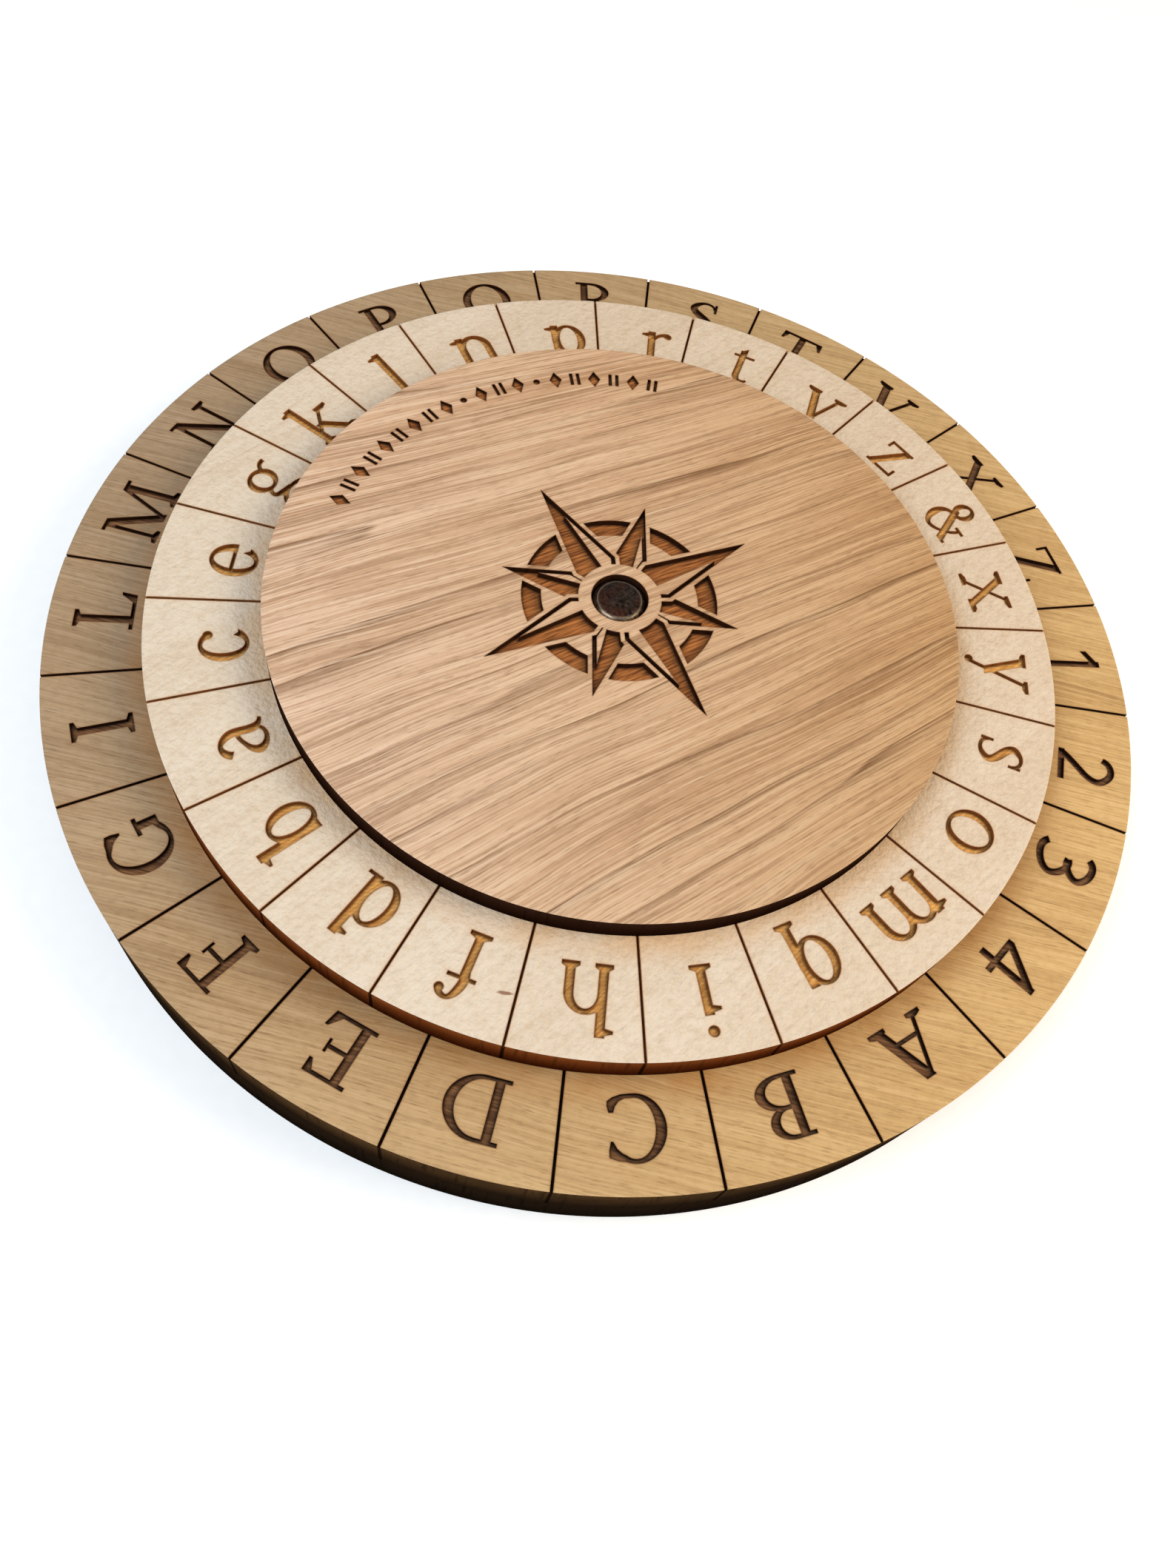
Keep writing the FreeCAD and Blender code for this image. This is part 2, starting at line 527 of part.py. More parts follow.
def retaining_ring():
    """An E-ring: an open ring with three prongs that reach into the pin's groove."""
    outer = ring_outer_diameter / 2
    web_inner = outer - ring_web
    groove = ring_groove_diameter / 2
    flat = dot(0, 0, outer).cut(dot(0, 0, web_inner))
    web_middle = outer - ring_web / 2
    prong = bar(0, -ring_prong_width / 2, web_middle, ring_prong_width / 2)
    mouth = bar(0, -ring_mouth_width / 2, outer + overshoot, ring_mouth_width / 2)
    prongs = [turned(prong, angle) for angle in ring_prong_angles]
    flat = merged([flat.cut(mouth)] + prongs).cut(dot(0, 0, groove))
    body = flat.extrude(Vector(0, 0, ring_thickness))
    body.translate(Vector(0, 0, ring_bottom))
    return body


def main():
    outlines = letter_outlines()
    pieces = {
        "base_back_plate": base_back_plate(),
        "base_dial_plate": base_dial_plate(outlines),
        "pivot_pin": pivot_pin(),
        "thrust_washer": washer(thrust_washer_diameter, dial_plate_top, thrust_washer_thickness),
        "keeper_washer": washer(keeper_washer_diameter, keeper_washer_bottom, keeper_washer_thickness),
        "retaining_ring": retaining_ring(),
        "cipher_disc": cipher_disc(outlines),
        "cover_disc": cover_disc(),
    }
    os.makedirs("parts", exist_ok=True)
    for name, shape in pieces.items():
        if len(shape.Solids) != 1 or not shape.isValid():
            raise RuntimeError(f"{name} isn't one sound solid")
        shape.Solids[0].exportStep(f"parts/{name}.step")
        box = shape.BoundBox
        print(f"{name}: {shape.Volume:.1f} mm3, z {box.ZMin:.2f} to {box.ZMax:.2f}, {box.XLength:.2f} wide")


main()
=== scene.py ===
"""An Alberti cipher disk: laser-cut wooden discs with engraved letters, turning on a steel pin."""
import math
import bpy
import numpy as np
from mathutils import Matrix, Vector, geometry, kdtree


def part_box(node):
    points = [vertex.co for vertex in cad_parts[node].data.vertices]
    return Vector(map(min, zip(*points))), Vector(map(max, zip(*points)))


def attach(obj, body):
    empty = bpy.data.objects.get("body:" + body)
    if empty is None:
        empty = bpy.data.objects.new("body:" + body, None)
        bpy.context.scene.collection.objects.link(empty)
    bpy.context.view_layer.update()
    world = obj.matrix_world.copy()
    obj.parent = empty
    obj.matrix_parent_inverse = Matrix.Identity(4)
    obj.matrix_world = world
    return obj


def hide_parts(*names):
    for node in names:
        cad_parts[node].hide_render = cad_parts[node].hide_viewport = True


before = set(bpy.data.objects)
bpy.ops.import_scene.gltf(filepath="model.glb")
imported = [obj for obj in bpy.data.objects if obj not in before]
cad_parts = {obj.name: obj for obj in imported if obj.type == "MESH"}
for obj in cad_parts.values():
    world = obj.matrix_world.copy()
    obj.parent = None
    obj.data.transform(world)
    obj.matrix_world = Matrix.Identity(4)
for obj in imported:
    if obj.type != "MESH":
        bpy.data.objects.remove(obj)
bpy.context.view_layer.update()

MM = 0.001
SECTORS = 24

# How finely the engraved faces are divided, in millimetres
OUTLINE_STEP = 0.25
RIM_STEP = 0.6
GRID_STEP = 2.2
HALO_STEPS = (0.14, 0.34, 0.75)
FAR_FROM_OUTLINES = 1.5

# Depths of the engraving, in millimetres. The emblem stands inside EMBLEM_REACH of the axis.
LINE_DEPTH = 0.45
LETTER_DEPTH = 0.55
EMBLEM_DEPTH = 0.8
GARLAND_DEPTH = 0.4
EMBLEM_REACH = 30.0

# The soft edge between a disc's face and its rim, in millimetres
LIP = 0.05
LIP_WIDTH = 0.12

# Radii of the hole for the pin's head, in the back plate, and of the pin's shown end
HEAD_HOLE = 6.2
PIN_RADIUS = 3.15

# How far the cipher disc's sector lines stand off the base's at rest, in degrees
CIPHER_TURN = 8.03

# Spacing of the laser's passes in an engraving and of the wood's finest fibres, in millimetres
RASTER_PITCH = 0.42
FIBRE_PITCH = 0.36

# Half of a scorched line's width where it runs over a rim, and the reach of the painted light and shade
# tints, in millimetres
RIM_LINE = 0.15
PAINTED_LIGHT_REACH = 60.0

# A disc's kinds of surface, in the order of its material slots
TOP, FLOOR, GROOVE, WALL, RIM, UNDER = range(6)

# A turned piece's kinds of surface, in the order of its material slots
CHARRED, PLANED = range(2)

# What a triangle of a disc's face can be part of
PLAIN, GLYPH, LINE, HOLE = range(4)


# ------------------------------------------------------------------ outlines of the engraving
def top_outlines(node, top):
    """Closed outlines of a CAD node's flat top, in millimetres, with the wood on their left."""
    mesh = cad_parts[node].data
    mesh.calc_loop_triangles()
    co = np.array([v.co for v in mesh.vertices]) / MM
    corners = np.array([t.vertices for t in mesh.loop_triangles])
    _, weld = np.unique(np.round(co, 4), axis=0, return_inverse=True)
    weld = weld.ravel()
    where = np.zeros((weld.max() + 1, 2))
    where[weld] = co[:, :2]
    flat = np.all(np.abs(co[corners][:, :, 2] - top) < 0.001, axis=1)
    edges = set()
    for a, b, c in weld[corners[flat]].tolist():
        edges.update(((a, b), (b, c), (c, a)))
    after = {a: b for a, b in sorted(edges) if (b, a) not in edges}
    outlines = []
    while after:
        start = min(after)
        here = after.pop(start)
        loop = [start]
        while here != start:
            loop.append(here)
            here = after.pop(here)
        outlines.append(where[loop])
    return outlines


def divided(outline, rim_radius):
    """The outline with more points on it, along the circle where it follows the rim."""
    following = np.roll(outline, -1, axis=0)
    points = []
    for a, b in zip(outline, following):
        length = math.hypot(*(b - a))
        on_rim = min(math.hypot(*a), math.hypot(*b)) > rim_radius - 0.02
        pieces = max(1, math.ceil(length / (RIM_STEP if on_rim else OUTLINE_STEP)))
        start = math.atan2(a[1], a[0])
        sweep = (math.atan2(b[1], b[0]) - start + math.pi) % (2 * math.pi) - math.pi
        for k in range(pieces):
            share = k / pieces
            angle = start + sweep * share
            on_circle = (rim_radius * math.cos(angle), rim_radius * math.sin(angle))
            points.append(on_circle if on_rim else tuple(a + (b - a) * share))
    return np.array(points)


def halo(outlines, tree):
    """Points beside the outlines, so that scorching can fade away from them."""
    kept = []
    taken = set()
    cell_size = 0.7 * OUTLINE_STEP
    for outline in outlines:
        along = np.roll(outline, -1, axis=0) - np.roll(outline, 1, axis=0)
        along /= np.maximum(np.hypot(along[:, 0], along[:, 1]), 1e-9)[:, None]
        across = np.stack([-along[:, 1], along[:, 0]], 1)
        for distance in HALO_STEPS:
            for x, y in np.concatenate([outline + across * distance, outline - across * distance]):
                cell = (round(x / cell_size), round(y / cell_size))
                if cell not in taken and tree.find((x, y, 0))[2] > 0.85 * distance:
                    taken.add(cell)
                    kept.append((x, y))
    return kept


def open_grid(radius, tree):
    """An even field of points for the plain wood between the outlines."""
    kept = []
    row_step = GRID_STEP * math.sin(math.pi / 3)
    rows = int(radius / row_step) + 1
    for j in range(-rows, rows + 1):
        for i in range(-rows - 1, rows + 2):
            x, y = (i + 0.5 * (j % 2)) * GRID_STEP, j * row_step
            if math.hypot(x, y) < radius - 0.8 and tree.find((x, y, 0))[2] > 1.2:
                kept.append((x, y))
    return kept


# ------------------------------------------------------------------ meshes
class Build:
    """Collects a mesh: vertices with their distance to the engraving, and faces with their material."""

    def __init__(self):
        self.places = []
        self.edge_mm = []
        self.faces = []
        self.kinds = []
        self.known = {}

    def vertex(self, key, x, y, z, edge_mm=FAR_FROM_OUTLINES):
        if key not in self.known:
            self.known[key] = len(self.places)
            self.places.append((x * MM, y * MM, z * MM))
            self.edge_mm.append(edge_mm)
        return self.known[key]

    def face(self, corners, kind):
        self.faces.append(corners)
        self.kinds.append(kind)

    def finish(self, name, materials, smooth_kinds=(RIM,)):
        mesh = bpy.data.meshes.new(name)
        mesh.from_pydata(self.places, [], self.faces)
        for material in materials:
            mesh.materials.append(material)
        mesh.polygons.foreach_set("material_index", self.kinds)
        mesh.polygons.foreach_set("use_smooth", [kind in smooth_kinds for kind in self.kinds])
        layer = mesh.attributes.new("edge_mm", "FLOAT", "POINT")
        layer.data.foreach_set("value", self.edge_mm)
        mesh.update()
        piece = bpy.data.objects.new(name, mesh)
        bpy.context.scene.collection.objects.link(piece)
        return piece


def face_edges(triangle):
    a, b, c = triangle
    return ((a, b), (b, c), (c, a))


def regions(triangles, fixed, places):
    """What each triangle of a disc's face is: plain wood, a glyph, a sector line or the middle hole."""
    neighbours = {}
    for index, triangle in enumerate(triangles):
        for edge in face_edges(triangle):
            neighbours.setdefault(frozenset(edge), []).append(index)
    group_of = [-1] * len(triangles)
    groups = []
    for seed in range(len(triangles)):
        if group_of[seed] >= 0:
            continue
        group_of[seed] = len(groups)
        group = [seed]
        for index in group:
            for edge in map(frozenset, face_edges(triangles[index])):
                if edge in fixed:
                    continue
                for other in neighbours[edge]:
                    if group_of[other] < 0:
                        group_of[other] = len(groups)
                        group.append(other)
        groups.append(group)
    beside = [set() for _ in groups]
    at_rim = [0] * len(groups)
    for edge, sides in neighbours.items():
        one, other = group_of[sides[0]], group_of[sides[-1]]
        at_rim[one] += len(sides) == 1
        beside[one].add(other)
        beside[other].add(one)
    outermost = max(range(len(groups)), key=lambda g: at_rim[g])
    level = {outermost: 0}
    queue = [outermost]
    for group in queue:
        for other in sorted(beside[group]):
            if other not in level:
                level[other] = level[group] + 1
                queue.append(other)
    middle = min(range(len(triangles)), key=lambda t: sum(places[v].length for v in triangles[t]))
    codes = [PLAIN] * len(groups)
    for g in range(len(groups)):
        if level[g] % 2:
            codes[g] = LINE if at_rim[g] else GLYPH
    codes[group_of[middle]] = HOLE
    return [codes[g] for g in group_of], neighbours


def outline_tree(outlines, radius):
    """A search tree of points along the outlines, apart from the rim, to find distances to them."""
    dense = []
    for outline in outlines:
        step = np.roll(outline, -1, axis=0) - outline
        dense += [outline + step * share for share in (0.0, 0.25, 0.5, 0.75)]
    dense = np.concatenate(dense)
    dense = dense[np.hypot(dense[:, 0], dense[:, 1]) < radius - 0.05]
    tree = kdtree.KDTree(len(dense))
    for index, (x, y) in enumerate(dense):
        tree.insert((x, y, 0), index)
    tree.balance()
    return tree


def lip_row(radius, tree):
    """A ring of points just inside the rim, where the soft edge begins."""
    kept = []
    count = math.ceil(2 * math.pi * radius / RIM_STEP)
    for k in range(count):
        angle = 2 * math.pi * (k + 0.5) / count
        x, y = (radius - LIP_WIDTH) * math.cos(angle), (radius - LIP_WIDTH) * math.sin(angle)
        if tree.find((x, y, 0))[2] > 0.1:
            kept.append((x, y))
    return kept


def divided_face(outlines, radius):
    """The disc's face as places, triangles, their codes and neighbours, and distances to outlines."""
    tree = outline_tree(outlines, radius)
    extra = [p for p in halo(outlines, tree) if math.hypot(*p) < radius - 2 * LIP_WIDTH]
    extra += open_grid(radius, tree)
    extra += lip_row(radius, tree)
    points = [Vector(p) for outline in outlines for p in outline] + [Vector(p) for p in extra]
    edges = []
    start = 0
    for outline in outlines:
        size = len(outline)
        edges += [(start + k, start + (k + 1) % size) for k in range(size)]
        start += size
    places, out_edges, triangles, _, origins, _ = geometry.delaunay_2d_cdt(
        points, edges, [], 0, 1e-5, True)
    fixed = {frozenset(edge) for edge, origin in zip(out_edges, origins) if origin}
    codes, neighbours = regions(triangles, fixed, places)
    near = [min(tree.find((p.x, p.y, 0))[2], FAR_FROM_OUTLINES) for p in places]
    return places, triangles, codes, neighbours, near


def engraved_disc(name, node, materials, depth_at):
    """A disc with the CAD node's own engraving, its face divided finely enough to show scorching."""
    low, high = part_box(node)
    bottom, top, radius = low[2] / MM, high[2] / MM, (high[0] - low[0]) / 2 / MM
    outlines = [divided(outline, radius) for outline in top_outlines(node, top)]
    places, triangles, codes, neighbours, near = divided_face(outlines, radius)
    build = Build()

    def height(v, what):
        if what == PLAIN:
            return top - (LIP if abs(places[v].length - radius) < 0.01 else 0.0)
        return top - (LINE_DEPTH if what == LINE else depth_at(places[v].length))

    def corner(v, what, role):
        return build.vertex((v, what, role), places[v].x, places[v].y, height(v, what), near[v])

    def row(v, number, z):
        return build.vertex((v, number, "row"), places[v].x, places[v].y, z)

    kinds = {PLAIN: TOP, GLYPH: FLOOR, LINE: GROOVE}
    for triangle, what in zip(triangles, codes):
        if what != HOLE:
            build.face([corner(v, what, "face") for v in triangle], kinds[what])
    rim, hole = [], []
    for index, triangle in enumerate(triangles):
        for p, q in face_edges(triangle):
            sides = neighbours[frozenset((p, q))]
            if len(sides) == 1:
                rim.append((p, q))
                first = [row(v, 0, top - LINE_DEPTH) for v in (p, q)]
                if codes[index] == PLAIN:
                    upper = [corner(v, PLAIN, "rim") for v in (p, q)]
                    build.face([upper[0], first[0], first[1], upper[1]], RIM)
                last = [row(v, 1, bottom) for v in (p, q)]
                build.face([first[0], last[0], last[1], first[1]], RIM)
            elif codes[index] == PLAIN:
                other = codes[sides[0] if sides[1] == index else sides[1]]
                if other == PLAIN:
                    continue
                upper = [corner(v, PLAIN, "wall") for v in (p, q)]
                if other == HOLE:
                    hole.append((p, q))
                else:
                    lower = [corner(v, other, "wall") for v in (p, q)]
                    build.face([upper[0], lower[0], lower[1], upper[1]], WALL)
    middle_hole(build, node, rim, hole, places, bottom)
    return build.finish(name, materials)


def by_angle(edges, places):
    """The points of a ring of edges in order round the axis, starting at -180 degrees."""
    members = {v for edge in edges for v in edge}
    return sorted((math.atan2(places[v].y, places[v].x), v) for v in members)


def zip_rings(build, outer, inner, kind, facing_up):
    """Triangles across the gap between two rings of (angle, vertex) round the axis."""
    def face(*corners):
        build.face(corners[::-1] if facing_up else corners, kind)

    j = 0
    for i, (angle, vertex) in enumerate(outer):
        while j < len(inner) - 1 and inner[j + 1][0] <= angle:
            face(inner[j][1], inner[j + 1][1], vertex)
            j += 1
        face(inner[j][1], outer[(i + 1) % len(outer)][1], vertex)
    for k in range(j, len(inner)):
        face(inner[k][1], inner[(k + 1) % len(inner)][1], outer[0][1])


def middle_hole(build, node, rim, hole, places, bottom):
    """The wall of the middle hole, the ledge of any pocket round it, and the disc's underside."""
    co = np.array([v.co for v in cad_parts[node].data.vertices]) / MM
    radii = np.hypot(co[:, 0], co[:, 1])
    bore = float(radii.min())
    wall_foot = float(co[radii < bore + 0.05][:, 2].max())
    mouth = by_angle(hole, places)
    stepped = places[mouth[0][1]].length > bore + 0.05
    if not stepped:
        wall_foot = bottom
    for p, q in hole:
        lower = [build.vertex((v, "foot"), places[v].x, places[v].y, wall_foot) for v in (p, q)]
        build.face([build.known[p, PLAIN, "wall"], *lower, build.known[q, PLAIN, "wall"]], RIM)
    last = [(angle, build.known[v, "foot"]) for angle, v in mouth]
    if stepped:
        angles = [2 * math.pi * (k + 0.5) / len(mouth) - math.pi for k in range(len(mouth))]
        ledge, foot = [], []
        for ring, z in ((ledge, wall_foot), (foot, bottom)):
            for k, a in enumerate(angles):
                ring.append((a, build.vertex((k, z), bore * math.cos(a), bore * math.sin(a), z)))
        zip_rings(build, last, ledge, UNDER, True)
        for k in range(len(angles)):
            above, beside = ledge[k - 1][1], ledge[k][1]
            build.face([above, beside, foot[k][1], foot[k - 1][1]], RIM)
        last = foot
    outer = [(angle, build.known[v, 1, "row"]) for angle, v in by_angle(rim, places)]
    zip_rings(build, outer, last, UNDER, False)


# ------------------------------------------------------------------ turned pieces
def lathe(name, profile, materials, segments):
    """A turned piece. The closed profile is rows of radius, height and surface up to the next row."""
    build = Build()
    angles = [2 * math.pi * k / segments for k in range(segments)]

    def vertex(number, k):
        radius, z, _ = profile[number]
        return build.vertex((number, k), radius * math.cos(angles[k]), radius * math.sin(angles[k]), z)

    for number, (_, _, kind) in enumerate(profile):
        for k in range(segments):
            around = (k, (k + 1) % segments)
            here = [vertex(number, i) for i in around]
            there = [vertex((number + 1) % len(profile), i) for i in around]
            build.face([here[0], here[1], there[1], there[0]], kind)
    return build.finish(name, materials, (CHARRED,))


# ------------------------------------------------------------------ materials
def paint(red, green, blue):
    """A shader colour from the 0 to 255 values it has on a screen."""
    def linear(value):
        value /= 255
        return value / 12.92 if value <= 0.04045 else ((value + 0.055) / 1.055) ** 2.4

    return (linear(red), linear(green), linear(blue), 1.0)


class Graph:
    """A material and short ways to add nodes to it. Inputs are numbers, colours or sockets."""

    def __init__(self, name):
        self.material = bpy.data.materials.new(name)
        self.material.use_nodes = True
        self.tree = self.material.node_tree
        self.shader = self.tree.nodes["Principled BSDF"]

    def put(self, socket, value):
        if isinstance(value, bpy.types.NodeSocket):
            self.tree.links.new(value, socket)
        else:
            socket.default_value = value

    def add(self, kind, *inputs, output=0, **settings):
        node = self.tree.nodes.new("ShaderNode" + kind)
        for key, value in settings.items():
            setattr(node, key, value)
        for key, value in enumerate(inputs):
            if value is not None:
                self.put(node.inputs[key], value)
        return node.outputs[output]

    def math(self, operation, *inputs):
        return self.add("Math", *inputs, operation=operation)

    def scaled(self, vector, x, y, z):
        return self.add("VectorMath", vector, (x, y, z), operation="MULTIPLY")

    def noise(self, vector, detail=2.0, roughness=0.5):
        """Noise round 0.5, one lump to a unit of the vector."""
        return self.add("TexNoise", vector, None, 1.0, detail, roughness, 2.0, None, None, 0.0)

    def span(self, value, low, high, to_low=0.0, to_high=1.0, smooth=False):
        """The value's place between low and high, as a number from to_low to to_high."""
        return self.add("MapRange", value, low, high, to_low, to_high,
                        interpolation_type="SMOOTHSTEP" if smooth else "LINEAR")

    def mix(self, share, one, other, blend="MIX"):
        node = self.tree.nodes.new("ShaderNodeMix")
        node.data_type = "RGBA"
        node.blend_type = blend
        for key, value in (("Factor", share), (6, one), (7, other)):
            self.put(node.inputs[key], value)
        return node.outputs[2]

    def split(self, vector):
        node = self.tree.nodes.new("ShaderNodeSeparateXYZ")
        self.put(node.inputs[0], vector)
        return node.outputs

    def attribute(self, name):
        node = self.tree.nodes.new("ShaderNodeAttribute")
        node.attribute_name = name
        return node.outputs["Fac"]

    def millimetres(self):
        place = self.tree.nodes.new("ShaderNodeTexCoord").outputs["Object"]
        return self.add("VectorMath", place, None, None, 1 / MM, operation="SCALE")

    def bump(self, height, strength, depth_mm):
        node = self.tree.nodes.new("ShaderNodeBump")
        self.put(node.inputs["Strength"], strength)
        self.put(node.inputs["Distance"], depth_mm * MM)
        self.put(node.inputs["Height"], height)
        return node.outputs["Normal"]

    def finish(self, colour, roughness, normal=None, **constants):
        self.put(self.shader.inputs["Base Color"], colour)
        self.put(self.shader.inputs["Roughness"], roughness)
        if normal is not None:
            self.put(self.shader.inputs["Normal"], normal)
        for key, value in constants.items():
            self.put(self.shader.inputs[key.replace("_", " ")], value)
        return self.material


# The three woods. Colours are 0 to 255: pale and deep are the two ends of the wood's own tone, streak
# and bright its dark and light fibres, scorch what the laser left, smoke_and_foot_shade both the
# laser's smoke round the engraving and a painted shade and warm reflection round the foot of the disc
# above, and left, right, front and far a painted light and shade that tints the four sides; floor_pale
# and floor_dark are the bottom of the engraving. Grain and raster are directions in degrees, of the
# fibres and of the laser's passes. The spacing of the streaks, the radius foot_shade_from where the
# painted shade begins and the place of the stain are in millimetres, and fan narrows the spacing along
# the grain. The other numbers are strengths.
WOODS = {
    "base": {
        "pale": (214, 180, 130), "deep": (196, 160, 110),
        "streak": (138, 102, 64), "bright": (230, 200, 154),
        "smoke_and_foot_shade": (164, 104, 34), "scorch": (86, 52, 28),
        "left": (212, 214, 234), "right": (255, 250, 236),
        "front": (250, 246, 238), "far": (240, 240, 242),
        "grain": -7, "fan": 0.0, "spacing": 9.0, "streaks": 0.35,
        "fibres": 0.5, "pores": 0.3, "mottle": 0.12, "pebble": 0.3,
        "foot_shade_from": 54.7,
        "floor_pale": (146, 102, 66), "floor_dark": (86, 54, 32), "raster": -7,
    },
    "cipher": {
        "pale": (230, 213, 196), "deep": (223, 204, 184),
        "streak": (196, 168, 136), "bright": (240, 227, 213),
        "smoke_and_foot_shade": (206, 152, 88), "scorch": (122, 66, 28),
        "left": (250, 254, 255), "right": (242, 240, 236),
        "front": (252, 250, 246), "far": (248, 242, 234),
        "grain": 48, "fan": 0.0, "spacing": 13.0, "streaks": 0.3,
        "fibres": 0.2, "pores": 0.0, "mottle": 0.3, "pebble": 2.6,
        "foot_shade_from": 41.3, "stain": (-7.2, -48.9, 0.0),
        "floor_pale": (238, 180, 102), "floor_dark": (190, 128, 62), "raster": 8,
    },
    "cover": {
        "pale": (229, 197, 173), "deep": (210, 173, 144),
        "streak": (128, 90, 58), "bright": (245, 220, 200),
        "smoke_and_foot_shade": (176, 118, 66), "scorch": (92, 52, 28),
        "left": (252, 253, 255), "right": (208, 188, 142),
        "front": (252, 252, 250), "far": (252, 245, 233),
        "grain": 34, "fan": 0.0029, "spacing": 5.2, "streaks": 1.0,
        "fibres": 0.75, "pores": 0.3, "mottle": 0.06, "pebble": 0.2,
        "floor_pale": (186, 116, 60), "floor_dark": (104, 58, 28), "raster": 34,
    },
}


def grain_space(graph, wood):
    """Places in millimetres as they are, and along the grain, across it and up, with a slight waver."""
    place = graph.millimetres()
    turned = graph.add("VectorRotate", place, (0, 0, 0), (0, 0, 1), math.radians(-wood["grain"]),
                       rotation_type="Z_AXIS")
    along, across, up = graph.split(turned)
    waver = graph.noise(graph.scaled(turned, 0.02, 0.05, 0.05))
    waver = graph.math("MULTIPLY_ADD", waver, 4.0, -2.0)
    fan = graph.math("MULTIPLY_ADD", along, wood["fan"], 1.0)
    across = graph.math("ADD", graph.math("MULTIPLY", across, fan), waver)
    return place, graph.add("CombineXYZ", along, across, up)


def growth_streaks(graph, wood, grain):
    """Growth lines along the grain: a soft shade that gathers into a thin dark line, and breaks off.

    Returns the lines' strength and the fine threads that vary it.
    """
    across = graph.split(grain)[1]
    drift = graph.noise(graph.scaled(grain, 0.009, 0.12, 0.12))
    phase = graph.math("DIVIDE", across, wood["spacing"])
    phase = graph.math("FRACT", graph.math("MULTIPLY_ADD", drift, 2.8, phase))
    shade = graph.math("MULTIPLY", graph.math("POWER", phase, 3.0), 0.4)
    line = graph.math("MULTIPLY", graph.math("POWER", phase, 16.0), 0.95)
    fall = graph.span(phase, 0.955, 1.0, 1.0, 0.0, smooth=True)
    presence = graph.noise(graph.scaled(grain, 0.011, 0.21, 0.21))
    presence = graph.span(presence, 0.36, 0.6, 0.15, 1.0)
    thread = graph.noise(graph.scaled(grain, 0.05, 1.7, 1.7), 3.0)
    streak = graph.math("MULTIPLY", graph.math("ADD", shade, line), fall)
    streak = graph.math("MULTIPLY", streak, presence)
    return graph.math("MULTIPLY", streak, graph.span(thread, 0.3, 0.6, 0.6, 1.2)), thread


def fine_fibres(graph, grain):
    """Fine fibres along the grain, with a regular ripple too small to follow by eye."""
    ripple = graph.math("MULTIPLY", graph.split(grain)[1], 2 * math.pi / FIBRE_PITCH)
    wander = graph.noise(graph.scaled(grain, 0.03, 0.5, 0.5))
    ripple = graph.math("SINE", graph.math("MULTIPLY_ADD", wander, 14.0, ripple))
    fibre = graph.noise(graph.scaled(grain, 0.06, 2.6, 2.6), 3.0, 0.6)
    return graph.math("MULTIPLY_ADD", ripple, 0.045, fibre)


def painted_side_light(graph, wood, place, colour):
    """Painted light and shade: a tint that drifts from one side of the disc to the other."""
    x, y, _ = graph.split(place)
    for value, start, end in ((x, "left", "right"), (y, "front", "far")):
        share = graph.span(value, -PAINTED_LIGHT_REACH, PAINTED_LIGHT_REACH)
        painted_light = graph.mix(share, paint(*wood[start]), paint(*wood[end]))
        colour = graph.mix(1.0, colour, painted_light, "MULTIPLY")
    return colour


def foot_shade_painted(graph, wood, place, colour):
    """Painted shade and warm reflection round the foot of the disc above, in patches."""
    radius = graph.add("VectorMath", graph.scaled(place, 1.0, 1.0, 0.0), operation="LENGTH", output=1)
    smoke_and_foot_shade = graph.span(radius, wood["foot_shade_from"], wood["foot_shade_from"] + 4.2, 0.6, 0.0, smooth=True)
    cloud = graph.noise(graph.scaled(place, 0.16, 0.16, 0.16), 3.0)
    cloud = graph.span(cloud, 0.3, 0.65, 0.35, 1.0)
    return graph.mix(graph.math("MULTIPLY", smoke_and_foot_shade, cloud), colour, paint(*wood["smoke_and_foot_shade"]))


def stained(graph, wood, place, mottle, colour):
    """One short dark blemish with a ragged edge."""
    aside = graph.add("VectorMath", place, wood["stain"], operation="SUBTRACT")
    spread = graph.add("VectorMath", graph.scaled(aside, 0.85, 3.6, 0.0), operation="LENGTH", output=1)
    spread = graph.math("MULTIPLY_ADD", mottle, 0.9, spread)
    share = graph.span(spread, 0.9, 1.4, 0.8, 0.0, smooth=True)
    return graph.mix(share, colour, paint(*wood["scorch"]))


